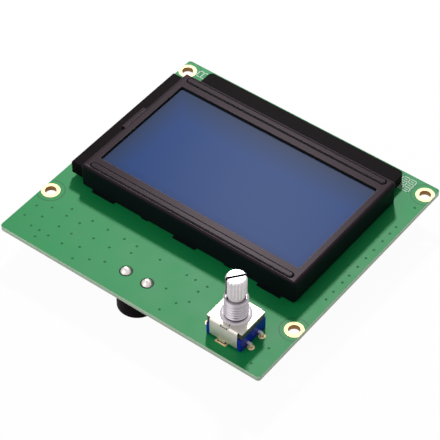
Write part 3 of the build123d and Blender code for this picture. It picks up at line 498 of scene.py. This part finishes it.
worked = {
    # Immersion gold is thin and even and shows the copper's grain under it; a hole's wall is browner as painted
    # shade
    "gold_plate": {
        "name": "immersion gold on copper", "dark": "#dcc698", "light": "#e8d4aa", "line": 0.15, "rub": 0.8,
        "stretch": evenGrain, "roughness": 0.66, "bump": 0.1, "edge": 0.03,
        "wall": {"colour": "#a07a4c", "tilt": 0.3},
    },
    # Dipped tin is a soft white metal
    "tinned_wire": {
        "name": "tinned copper strip", "dark": "#d8d4cc", "light": "#ece8e0", "line": 0.2, "rub": 1.0,
        "stretch": evenGrain, "roughness": 0.5, "bump": 0.15, "edge": 0.05,
    },
    # Nickel plate over rolled strip keeps the mill's lines along the strip
    "bright_steel": {
        "name": "nickel plated rolled steel", "dark": "#cdc7bf", "light": "#ddd8d0", "line": 0.12, "rub": 2.5,
        "stretch": linesAlongX, "roughness": 0.5, "bump": 0.12, "edge": 0.12,
    },
    # Die cast zinc is bluish and satin, with painted shade darkening its thread towards the roots
    "cast_zinc": {
        "name": "die cast zinc, thread rolled", "dark": "#a8a2a8", "light": "#c8c2c8", "line": 0.12, "rub": 1.5,
        "stretch": linesRound, "roughness": 0.34, "bump": 0.15, "edge": 0.05,
        "root": {"low": 3.05, "high": 3.45, "share": 0.45, "colour": "#3c363c"},
    },
    # Aluminium turned and knurled: bright with fine rings from the tool
    "turned_aluminium": {
        "name": "turned aluminium", "dark": "#cfc8cb", "light": "#e4dfe1", "line": 0.1, "rub": 1.2,
        "stretch": linesRound, "roughness": 0.45, "bump": 0.15, "edge": 0.06,
        # The slot's dark colour is painted shade
        "slotShade": {"angle": 52.3, "half": 0.46, "colour": "#241f20"},
    },
    # Spring strip is a darker, harder grey with close rolling lines
    "spring_steel": {
        "name": "rolled spring steel", "dark": "#a4a4a0", "light": "#bebeba", "line": 0.1, "rub": 1.5,
        "stretch": linesAlongY, "roughness": 0.35, "bump": 0.1, "edge": 0.03,
    },
    # Reflowed tin is bright with a slight orange peel where it froze
    "solder": {
        "name": "reflowed tin solder", "dark": "#cbbfbc", "light": "#e8dedb", "line": 0.45, "rub": 1.2,
        "stretch": evenGrain, "roughness": 0.36, "bump": 0.3, "edge": 0.08,
    },
    # Enamel over copper is a warm orange, ribbed by the turns of wire
    "copper_wire": {
        "name": "enamelled copper winding", "dark": "#a8562c", "light": "#c87840", "line": 0.12, "rub": 0.8,
        "stretch": windings, "roughness": 0.35, "bump": 0.6, "edge": 0.03,
    },
}

clear = {
    # Float glass: water clear, a trace of green
    "glass": {
        "name": "float glass", "dark": "#e8f2ee", "light": "#f4faf8", "haze": 20.0, "roughness": 0.02,
        "ior": 1.52, "through": 1.0,
    },
    # Cast acrylic: clear and colourless, a little softer in its shine
    "clear_acrylic": {
        "name": "clear cast acrylic", "dark": "#eef2f4", "light": "#fafcfd", "haze": 15.0, "roughness": 0.05,
        "ior": 1.49, "through": 0.9,
    },
}

materials = {slot: mouldedSurface(look) for slot, look in moulded.items()}
materials.update({slot: workedMetal(look) for slot, look in worked.items()})
materials.update({slot: clearSheet(look) for slot, look in clear.items()})
materials["solder_mask"] = solderMaskOverLaminate()
materials["blue_film"] = antiGlareFilm()
for part in frame["record"]["subparts"]:
    for holder in nodes[part["node"]].material_slots:
        holder.material = materials[part["material_slot"]]
print("materials made:", len(materials))


def addPiece(name, points, faces, material, body="board", sharp=35):
    mesh = bpy.data.meshes.new(name)
    mesh.from_pydata([[value * mm for value in point] for point in points], [], faces)
    mesh.validate()
    mesh.shade_smooth()
    mesh.set_sharp_from_angle(angle=math.radians(sharp))
    mesh.materials.append(materials[material])
    piece = bpy.data.objects.new(name, mesh)
    bpy.context.scene.collection.objects.link(piece)
    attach(piece, body)
    return piece


# Several shapes, each with its points and faces, as one
def joined(shapes):
    points = []
    faces = []
    for more, polygons in shapes:
        faces += [tuple(len(points) + corner for corner in polygon) for polygon in polygons]
        points += more
    return points, faces


# A closed profile turned round an upright axis. A row is a radius, or a function of the angle, and a height
def turned(rows, centre, segments):
    points = []
    faces = []
    for row, (radiusAt, height) in enumerate(rows):
        for step in range(segments):
            angle = 2 * math.pi * step / segments
            radius = radiusAt(angle) if callable(radiusAt) else radiusAt
            x, y = centre[0] + radius * math.cos(angle), centre[1] + radius * math.sin(angle)
            points.append((x, y, height))
        first, second = row * segments, (row + 1) % len(rows) * segments
        for step in range(segments):
            beside = (step + 1) % segments
            faces.append((first + step, first + beside, second + beside, second + step))
    return points, faces


bushingLook = {
    # The outline as radius and height: flange, neck in the cover, collar and relief, and the mouth on top
    "foot": ((2.55, 6.05), (4.7, 6.05), (4.7, 6.5), (3.9, 6.5), (3.9, 7.0), (4.5, 7.0), (4.5, 7.27),
             (4.42, 7.35), (3.0, 7.35), (3.0, 7.65), (3.5, 7.9)),
    "mouth": ((3.0, 14.0), (2.67, 14.0), (2.55, 13.88)),
    "crest": 3.5, "root": 3.0, "pitch": 1.0, "flank": 1.25, "threadLow": 7.9, "threadTop": 13.65,
    "fadeIn": 0.3, "fadeOut": 0.2, "segments": 48, "rowsPerPitch": 8, "sharp": 50,
}


# The bushing again with its rolled M7 thread as real geometry, which the CAD piece leaves plain
def makeThreadedBushing():
    look = bushingLook

    def threadAt(height):
        def radiusAt(angle):
            turn = (height / look["pitch"] - angle / (2 * math.pi)) % 1
            rise = 1 - abs(2 * turn - 1)
            fadeIn = (height - look["threadLow"]) / look["fadeIn"]
            fadeOut = (look["threadTop"] - height) / look["fadeOut"]
            depth = (look["crest"] - look["root"]) * min(1, rise * look["flank"])
            return look["crest"] - depth * max(0, min(1, fadeIn, fadeOut))
        return radiusAt

    length = look["threadTop"] - look["threadLow"]
    count = round(length / look["pitch"] * look["rowsPerPitch"])
    heights = [look["threadLow"] + length * step / count for step in range(1, count + 1)]
    rows = [*look["foot"], *((threadAt(height), height) for height in heights), *look["mouth"]]
    points, faces = turned(rows, controlCentre, look["segments"])
    piece = addPiece("threadedBushing", points, faces, "cast_zinc", sharp=look["sharp"])
    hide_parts("control_bushing")


makeThreadedBushing()
print("bushing thread cut")

viaLook = {
    "radius": 0.4, "rim": 0.32, "dimple": 0.2, "floor": 0.12, "height": 0.03, "floorHeight": 0.006,
    "segments": 12,
    # Rows of vias, each row's height up the board and then its places along it
    "rows": {
        -34.5: (-34.2, -26.4, -20.7, -14.6, -10.0, -1.5, 8.1, 11.2, 15.4),
        -37.5: (-39.2, -33.7, -28.8, -9.7, 14.5),
        -39.6: (-43.3, -21.8, -16.0),
        -42.0: (-39.1, -32.7, -28.0, 6.6, 14.8, 42.4),
        -44.6: (-43.5, -22.8, -13.4, 12.2),
        -46.6: (-39.3, -36.2, -32.8, -27.7, -17.5),
        -49.2: (-35.6, -21.6, 10.0, 41.7),
    },
    "columnX": 44.5, "column": (26.3, 16.6, 13.5, 9.7, 5.4, 1.4, -2.7, -6.9, -10.2, -14.6, -18.2),
    # The same lacquer as on the board, thicker and darker where it dips into a via
    "surface": {
        "name": "solder mask pooled in vias", "dark": "#0a5c32", "light": "#10703c", "gloss": 0.16,
        "grain": 0.2, "drift": 2.0, "roughness": 0.5, "bump": 0.1, "edge": 0.03,
    },
}


# A tented via: a low rim with a dimple, closed over by the mask
def viaShape(x, y, level, side):
    look = viaLook
    segments = look["segments"]
    rings = [(look["radius"], 0.0), (look["rim"], look["height"]), (look["dimple"], look["height"]),
             (look["floor"], look["floorHeight"])]
    points = []
    faces = []
    for radius, height in rings:
        for step in range(segments):
            angle = side * 2 * math.pi * step / segments
            points.append((x + radius * math.cos(angle), y + radius * math.sin(angle), level + side * height))
    for first in range(0, (len(rings) - 1) * segments, segments):
        for step in range(segments):
            beside = (step + 1) % segments
            faces.append((first + step, first + beside, first + segments + beside, first + segments + step))
    last = (len(rings) - 1) * segments
    faces.append([last + step for step in range(segments)])
    faces.append(list(reversed(range(segments))))
    return points, faces


def makeVias():
    look = viaLook
    places = [(x, y) for y, row in look["rows"].items() for x in row]
    places += [(look["columnX"], y) for y in look["column"]]
    sides = ((0.0, 1), (boardBack, -1))
    points, faces = joined(viaShape(x, y, level, side) for x, y in places for level, side in sides)
    addPiece("tentedVias", points, faces, "via_mask")
    print("vias placed:", len(places))


materials["via_mask"] = mouldedSurface(viaLook["surface"])
makeVias()


# A flat strip along a run of points, raised off a level face, or hung under it where the height is negative
def strip(run, width, level, height):
    points = []
    faces = []
    for (x0, y0), (x1, y1) in zip(run, run[1:]):
        length = math.hypot(x1 - x0, y1 - y0)
        ux, uy = (x1 - x0) / length, (y1 - y0) / length
        x0, y0, x1, y1 = x0 - ux * width / 2, y0 - uy * width / 2, x1 + ux * width / 2, y1 + uy * width / 2
        sx, sy = -uy * width / 2, ux * width / 2
        base = len(points)
        corners = [(x0 - sx, y0 - sy), (x1 - sx, y1 - sy), (x1 + sx, y1 + sy), (x0 + sx, y0 + sy)]
        points += [(x, y, z) for z in (level, level + height) for x, y in corners]
        quads = [(0, 3, 2, 1), (4, 5, 6, 7), (0, 1, 5, 4), (1, 2, 6, 5), (2, 3, 7, 6), (3, 0, 4, 7)]
        if height < 0:
            quads = [tuple(reversed(quad)) for quad in quads]
        faces += [tuple(base + corner for corner in quad) for quad in quads]
    return points, faces


def addStrips(name, runs, width, level, height, material):
    points, faces = joined(strip(run, width, level, height) for run in runs)
    addPiece(name, points, faces, material)


def box(low, high):
    points = [(x, y, z) for z in (low[2], high[2]) for y in (low[1], high[1]) for x in (low[0], high[0])]
    return points, [(0, 2, 3, 1), (4, 5, 7, 6), (0, 1, 5, 4), (1, 3, 7, 5), (3, 2, 6, 7), (2, 0, 4, 6)]


def addBoxes(name, boxes, material):
    points, faces = joined(box(low, high) for low, high in boxes)
    addPiece(name, points, faces, material)


fluxLook = {
    "inner": 1.68, "outer": 2.02, "height": 0.07, "lean": 0.03, "lip": 0.01, "segments": 40,
    "places": ((-6.45, -43.7), (1.15, -43.7)),
    # Old flux is a dark brown-green varnish with a little shine; the same dark also serves as painted shade in
    # the tab's cut
    "surface": {
        "name": "aged flux in the mask's gap", "dark": "#12281a", "light": "#1e3c26", "gloss": 0.1,
        "grain": 0.15, "drift": 1.5, "roughness": 0.5, "bump": 0.2, "edge": 0.03,
    },
}


# Old flux sits in a dark line round each of the buzzer's joints, where the mask stops at the land
def makeFluxRings():
    look = fluxLook
    rows = [(look["inner"], 0.0), (look["outer"], 0.0), (look["outer"] - look["lean"], look["height"]),
            (look["inner"], look["height"] + look["lip"])]
    points, faces = joined(turned(rows, centre, look["segments"]) for centre in look["places"])
    addPiece("fluxRings", points, faces, "flux")


materials["flux"] = mouldedSurface(fluxLook["surface"])
makeFluxRings()
print("flux rings laid")

printLook = {
    "line": 0.26, "height": 0.02, "dash": 0.4,
    # Small ruled tables in place of printed words: left, low, width, depth, columns and lines
    "tables": ((34.8, 30.35, 4.5, 5.0, 2, 3), (-40.85, 32.6, 3.1, 2.5, 2, 1)),
    # Silk screen ink is a flat white that sits just proud of the mask
    "surface": {
        "name": "white silk screen ink", "dark": "#c8dccc", "light": "#e4efe6", "gloss": 0.16,
        "grain": 0.12, "drift": 2.0, "roughness": 0.6, "bump": 0.2, "edge": 0.02,
    },
}


# Ruled tables, with a plain dash in each cell where they have more than one line
def makePrintedTables():
    look = printLook
    runs = []
    for left, low, width, depth, columns, lines in look["tables"]:
        for line in range(lines + 1):
            y = low + depth * line / lines
            runs.append([(left, y), (left + width, y)])
        for column in range(columns + 1):
            x = left + width * column / columns
            runs.append([(x, low), (x, low + depth)])
        for line in range(lines if lines > 1 else 0):
            for column in range(columns):
                x = left + width * (column + 0.5 - look["dash"] / 2) / columns
                y = low + depth * (line + 0.5) / lines
                runs.append([(x, y), (x + look["dash"] * width / columns, y)])
    addStrips("printedTables", runs, look["line"], 0.0, look["height"], "print_ink")


materials["print_ink"] = mouldedSurface(printLook["surface"])
makePrintedTables()
print("tables printed")

ribLook = {
    "halfLength": 36.0, "halfWidth": 0.85, "middle": 22.7, "top": 8.0,
    "line": 0.36, "height": 0.012, "arc": 12,
    # Painted shadow at the rib's foot is a dead black
    "surface": {
        "name": "painted shadow at the rib's foot", "dark": "#070506", "light": "#0d0a0b", "gloss": 0.01,
        "grain": 0.2, "drift": 2.0, "roughness": 0.7, "bump": 0.1, "edge": 0.02,
    },
}


# Painted shadow darkens the foot of each pressed rib, all the way round
def makeRibShadowLines():
    look = ribLook
    runs = []
    radius = look["halfWidth"] + look["line"] / 2
    straight = look["halfLength"] - look["halfWidth"]
    for side in (-1, 1):
        outline = []
        for end in (1, -1):
            for step in range(look["arc"] + 1):
                angle = math.pi * (step / look["arc"] - 0.5)
                outline.append((end * (straight + radius * math.cos(angle)),
                                side * look["middle"] + end * radius * math.sin(angle)))
        runs.append(outline + outline[:1])
    addStrips("ribShadowLines", runs, look["line"], look["top"], look["height"], "rib_shadow")


materials["rib_shadow"] = mouldedSurface(ribLook["surface"])
makeRibShadowLines()
print("rib feet shaded")

bendHighlightLook = {
    "halfLength": 37.42, "halfWidth": 23.92, "top": 8.0, "line": 0.16, "height": 0.01,
    # A thin coat lets the grey steel through
    # A painted highlight: a pale grey line that stands for light on the bend
    "surface": {
        "name": "painted highlight on the bend", "dark": "#6a6064", "light": "#887c80", "gloss": 0.03,
        "grain": 0.3, "drift": 4.0, "roughness": 0.4, "bump": 0.1, "edge": 0.02,
    },
}


# A painted highlight along the bezel's near bend, where it shows as a fine pale line
def makeBendHighlight():
    look = bendHighlightLook
    x, y = look["halfLength"], look["halfWidth"]
    addStrips("bendHighlight", [[(-x, -y), (x, -y)]], look["line"], look["top"], look["height"], "bend")


# The bend material is a painted highlight
materials["bend"] = mouldedSurface(bendHighlightLook["surface"])
makeBendHighlight()
print("bend highlight painted")

tabLook = {
    "left": 30.3, "right": 32.4, "low": 6.3, "top": 7.0, "face": -48.1, "back": -46.7,
    "gap": 0.26, "proud": 0.03,
}


# The cut line round the small tab that is folded over the cover's near edge, drawn as dark strips of painted
# shade
def makeTabGapShade():
    look = tabLook
    front, back = look["face"] - look["proud"], look["face"] + look["proud"]
    gap, top = look["gap"], look["top"] + look["proud"]
    addBoxes("latchTabGapShade", [
        ((look["left"], front, look["low"]), (look["left"] + gap, back, top)),
        ((look["left"], front, look["low"]), (look["right"] + gap, back, look["low"] + gap)),
        ((look["right"], front, look["low"]), (look["right"] + gap, back, top)),
        ((look["right"], front, look["top"] - look["proud"]), (look["right"] + gap, look["back"], top)),
    ], "flux")


makeTabGapShade()
print("tab outlined")

rearLook = {
    # Chips in two rows, each row's place up the board and its chips' height: resistors, then capacitors
    "chipFirst": -8.0, "chipStep": 6.0, "chipCount": 5, "chipLength": 2.0, "chipDepth": 1.25,
    "chipRows": ((-17.0, 0.5), (-22.0, 0.9)), "capLength": 0.4, "capSkin": 0.03, "landReach": 0.36,
    "headerX": 17.0, "headerY": 15.0, "pinColumns": 5, "pinPitch": 2.54, "footReach": 6.15,
    "padWidth": 1.0, "padLength": 1.8, "padHeight": 0.06,
}


# Tinned end caps on the chips, and solder pads at the headers' feet
def makeRearSolder():
    look = rearLook
    skin = look["capSkin"]
    padFace = boardBack - look["padHeight"]
    boxes = []
    for number in range(look["chipCount"]):
        middle = look["chipFirst"] + look["chipStep"] * number
        for y, height in look["chipRows"]:
            low, high = y - look["chipDepth"] / 2 - skin, y + look["chipDepth"] / 2 + skin
            for side in (-1, 1):
                end = middle + side * (look["chipLength"] / 2 + skin)
                inner = end - side * look["capLength"]
                land = end + side * look["landReach"]
                cap = boardBack - height - skin
                boxes.append(((min(end, inner), low, cap), (max(end, inner), high, boardBack)))
                boxes.append(((min(land, inner), low, padFace), (max(land, inner), high, boardBack)))
    for header in (-look["headerX"], look["headerX"]):
        for column in range(look["pinColumns"]):
            x = header + (column - look["pinColumns"] // 2) * look["pinPitch"]
            left, right = x - look["padWidth"] / 2, x + look["padWidth"] / 2
            for side in (-1, 1):
                outer = look["headerY"] + side * look["footReach"]
                inner = outer - side * look["padLength"]
                boxes.append(((left, min(outer, inner), padFace), (right, max(outer, inner), boardBack)))
    addBoxes("rearSolder", boxes, "solder")


trackLook = {
    "width": 0.35, "height": 0.03,
    # From the headers' near feet to the drivers
    "nearFoot": 8.9, "nearBend": 7.6, "nest": 0.45, "slope": 0.45,
    "driverX": 25.0, "driverPitch": 2.0, "driverY": 1.5,
    # From their far feet round the board's sides
    "farFoot": 21.0, "farBend": 23.2, "farStep": 0.8,
    "sideX": 11.0, "sideShare": 0.9, "corner": 1.2, "sideEnd": -11.0,
    # From the drivers to the control
    "busX": 20.0, "busStep": 2.4, "busTop": -8.0, "busBend": -26.0, "busShift": 3.0, "busEnd": -37.5,
    # From the chips to the middle driver
    "chipSide": 1.4, "fanTop": -12.5, "fanStep": 0.6, "fanX": -1.0, "fanEnd": -10.0,
    # Single tracks to the buzzer's pins and from the regulator
    "singles": (
        ((-9.4, -22.0), (-9.4, -30.0), (-6.45, -33.0), (-6.45, -43.7)),
        ((14.6, -22.0), (14.6, -32.0), (9.0, -37.6), (9.0, -43.7), (1.15, -43.7)),
        ((-36.0, -22.0), (-36.0, -28.0), (-30.0, -34.0), (-14.0, -34.0), (-9.4, -29.0)),
    ),
    # Mask over a copper track is a shade lighter than over bare laminate
    "surface": {
        "name": "solder mask over copper track", "dark": "#128c4c", "light": "#1a9854", "gloss": 0.16,
        "grain": 0.3, "drift": 4.0, "roughness": 0.55, "bump": 0.1, "edge": 0.02,
    },
}


# Tracks from the headers to the drivers and the board's sides, and on to the control, chips and buzzer
def makeRearTracks():
    look, rear = trackLook, rearLook
    (resistorY, _), (capacitorY, _) = rear["chipRows"]
    middle = rear["pinColumns"] // 2
    corner = look["corner"]
    runs = []
    for side in (-1, 1):
        for column in range(rear["pinColumns"]):
            place = column - middle
            x = side * rear["headerX"] + place * rear["pinPitch"]
            goal = side * look["driverX"] + place * look["driverPitch"]
            bend = look["nearBend"] - look["nest"] * abs(place - side * middle)
            runs.append([(x, look["nearFoot"]), (x, bend), (goal, bend - abs(goal - x) * look["slope"]),
                         (goal, look["driverY"])])
            rise = look["farBend"] + look["farStep"] * (middle - side * place)
            reach = side * (look["sideX"] + look["sideShare"] * rise)
            outside = reach + side * corner
            runs.append([(x, look["farFoot"]), (x, rise), (reach, rise), (outside, rise - corner),
                         (outside, look["sideEnd"] - place)])
    for number in range(rear["chipCount"]):
        x = look["busX"] + look["busStep"] * number
        bend = look["busBend"] - number
        shift = look["busShift"]
        runs.append([(x, look["busTop"]), (x, bend), (x + shift, bend - shift), (x + shift, look["busEnd"])])
        chip = rear["chipFirst"] + rear["chipStep"] * number
        left, right = chip - look["chipSide"], chip + look["chipSide"]
        fan = look["fanStep"] * number
        runs.append([(left, resistorY), (left, capacitorY)])
        runs.append([(right, resistorY), (right, look["fanTop"] + fan), (look["fanX"] + fan, look["fanEnd"])])
    runs += look["singles"]
    addStrips("rearTracks", runs, look["width"], boardBack, -look["height"], "track_mask")


rearPrintLook = {
    "line": 0.2, "height": 0.02, "sides": 36, "chipReach": 2.0, "chipRise": 1.1,
    # Outlines as left, low, right and high: headers, trimmer, regulator and control
    "rectangles": (
        (-28.0, 7.6, -6.0, 22.4), (6.0, 7.6, 28.0, 22.4), (33.4, -16.5, 38.6, -11.5),
        (-40.0, -22.2, -32.0, -13.8), (25.0, -48.6, 37.6, -36.0),
    ),
    # Circles as centre and radius: three drivers and the buzzer
    "circles": ((-25.0, -3.0, 8.1), (0.0, -3.0, 8.1), (25.0, -3.0, 8.1), (-2.65, -43.7, 6.5)),
}


# Plain printed outlines round the rear parts, without any letters
def makeRearPrint():
    look, rear = rearPrintLook, rearLook
    rectangles = list(look["rectangles"])
    for number in range(rear["chipCount"]):
        x = rear["chipFirst"] + rear["chipStep"] * number
        left, right = x - look["chipReach"], x + look["chipReach"]
        for y, _ in rear["chipRows"]:
            rectangles.append((left, y - look["chipRise"], right, y + look["chipRise"]))
    runs = []
    for left, low, right, high in rectangles:
        runs.append([(left, low), (right, low), (right, high), (left, high), (left, low)])
    for x, y, radius in look["circles"]:
        angles = [2 * math.pi * step / look["sides"] for step in range(look["sides"] + 1)]
        runs.append([(x + radius * math.cos(angle), y + radius * math.sin(angle)) for angle in angles])
    addStrips("rearPrint", runs, look["line"], boardBack - trackLook["height"], -look["height"], "print_ink")


makeRearSolder()
materials["track_mask"] = mouldedSurface(trackLook["surface"])
makeRearTracks()
makeRearPrint()
print("rear face dressed")


# A mask that is one where the camera, a mirror or clear glass looks at the thing itself
def seenDirectly(tree):
    rays = addNode(tree, "ShaderNodeLightPath")
    first = addNode(tree, "ShaderNodeMath", {"operation": "MAXIMUM"}, {
        0: rays.outputs["Is Camera Ray"], 1: rays.outputs["Is Glossy Ray"],
    })
    return addNode(tree, "ShaderNodeMath", {"operation": "MAXIMUM"}, {
        0: first.outputs[0], 1: rays.outputs["Is Transmission Ray"],
    })


floorLook = {"level": -11.15, "size": 3000.0, "white": 0.95, "keepShadow": 0.04}  # the last is a share


# A white floor that still takes the object's shadow, and is clear from below
def makeFloor():
    look = floorLook
    half = look["size"] / 2
    sides = ((-1, -1), (1, -1), (1, 1), (-1, 1))
    corners = [(x * half * mm, y * half * mm, look["level"] * mm) for x, y in sides]
    mesh = bpy.data.meshes.new("floor")
    mesh.from_pydata(corners, [], [(0, 1, 2, 3)])
    floor = bpy.data.objects.new("floor", mesh)
    bpy.context.scene.collection.objects.link(floor)
    material, tree = startMaterial("white paper sweep")
    matt = addNode(tree, "ShaderNodeBsdfDiffuse", {"Color": [look["white"]] * 3 + [1.0]})
    glow = addNode(tree, "ShaderNodeEmission", {"Strength": 1.0})
    share = addNode(tree, "ShaderNodeMath", {"operation": "MULTIPLY", 1: 1 - look["keepShadow"]}, {
        0: seenDirectly(tree).outputs[0],
    })
    lit = addNode(tree, "ShaderNodeMixShader", {}, {
        0: share.outputs[0], 1: matt.outputs[0], 2: glow.outputs[0],
    })
    side = addNode(tree, "ShaderNodeNewGeometry")
    nothing = addNode(tree, "ShaderNodeBsdfTransparent")
    shader = addNode(tree, "ShaderNodeMixShader", {}, {
        0: side.outputs["Backfacing"], 1: lit.outputs[0], 2: nothing.outputs[0],
    })
    endMaterial(tree, shader)
    mesh.materials.append(material)


# A lamp at a place in mm that looks at the part's origin
def addLamp(name, kind, place):
    lamp = bpy.data.lights.new(name, kind)
    holder = bpy.data.objects.new(name, lamp)
    holder.location = Vector(place) * mm
    holder.rotation_mode = "QUATERNION"
    holder.rotation_quaternion = (-Vector(place)).to_track_quat("-Z", "Y")
    bpy.context.scene.collection.objects.link(holder)
    return lamp


lightLook = {
    "boxPlace": (-252.7, 371.3, 508.0), "boxPower": 3.55, "boxWidth": 78.0,
    "cardPlace": (-300.0, -600.0, 500.0), "cardPower": 0.8, "cardSpread": 60.0,
    "fill": 0.24, "seen": 1.0,  # how strongly the room lights the part, and how bright it looks itself
}


# A round soft box behind the board at the left, a weak card in front at the left, and an even white room
def makeLights():
    look = lightLook
    softBox = addLamp("soft box", "AREA", look["boxPlace"])
    softBox.shape = "DISK"
    softBox.size = look["boxWidth"] * mm
    softBox.energy = look["boxPower"]
    card = addLamp("card", "SUN", look["cardPlace"])
    card.energy = look["cardPower"]
    card.angle = math.radians(look["cardSpread"])
    world = bpy.data.worlds.new("white room")
    world.use_nodes = True
    tree = world.node_tree
    tree.nodes.clear()
    level = addNode(tree, "ShaderNodeMapRange", {"To Min": look["fill"], "To Max": look["seen"]}, {
        "Value": seenDirectly(tree).outputs[0],
    })
    sky = addNode(tree, "ShaderNodeBackground", {"Color": (1, 1, 1, 1)}, {"Strength": level.outputs[0]})
    addNode(tree, "ShaderNodeOutputWorld", {}, {"Surface": sky.outputs[0]})
    bpy.context.scene.world = world


# Solved so that the board's corners and holes fall where the photo has them
cameraLook = {
    "place": (250.14, -335.48, 429.65), "azimuth": 37.42, "elevation": 46.52,
    "focalPixels": 2052.07, "framePixels": 440, "sensor": 36.0,
}


def makeCamera():
    look = cameraLook
    camera = bpy.data.cameras.new("camera")
    camera.sensor_width = look["sensor"]
    camera.lens = look["sensor"] * look["focalPixels"] / look["framePixels"]
    holder = bpy.data.objects.new("camera", camera)
    holder.location = Vector(look["place"]) * mm
    around, above = math.radians(look["azimuth"]), math.radians(look["elevation"])
    level = math.cos(above)
    ahead = Vector((-math.sin(around) * level, math.cos(around) * level, -math.sin(above)))
    holder.rotation_mode = "QUATERNION"
    holder.rotation_quaternion = ahead.to_track_quat("-Z", "Y")
    bpy.context.scene.collection.objects.link(holder)
    bpy.context.scene.camera = holder


makeFloor()
makeLights()
makeCamera()
bpy.context.scene.view_settings.view_transform = "Standard"
print("stage set")
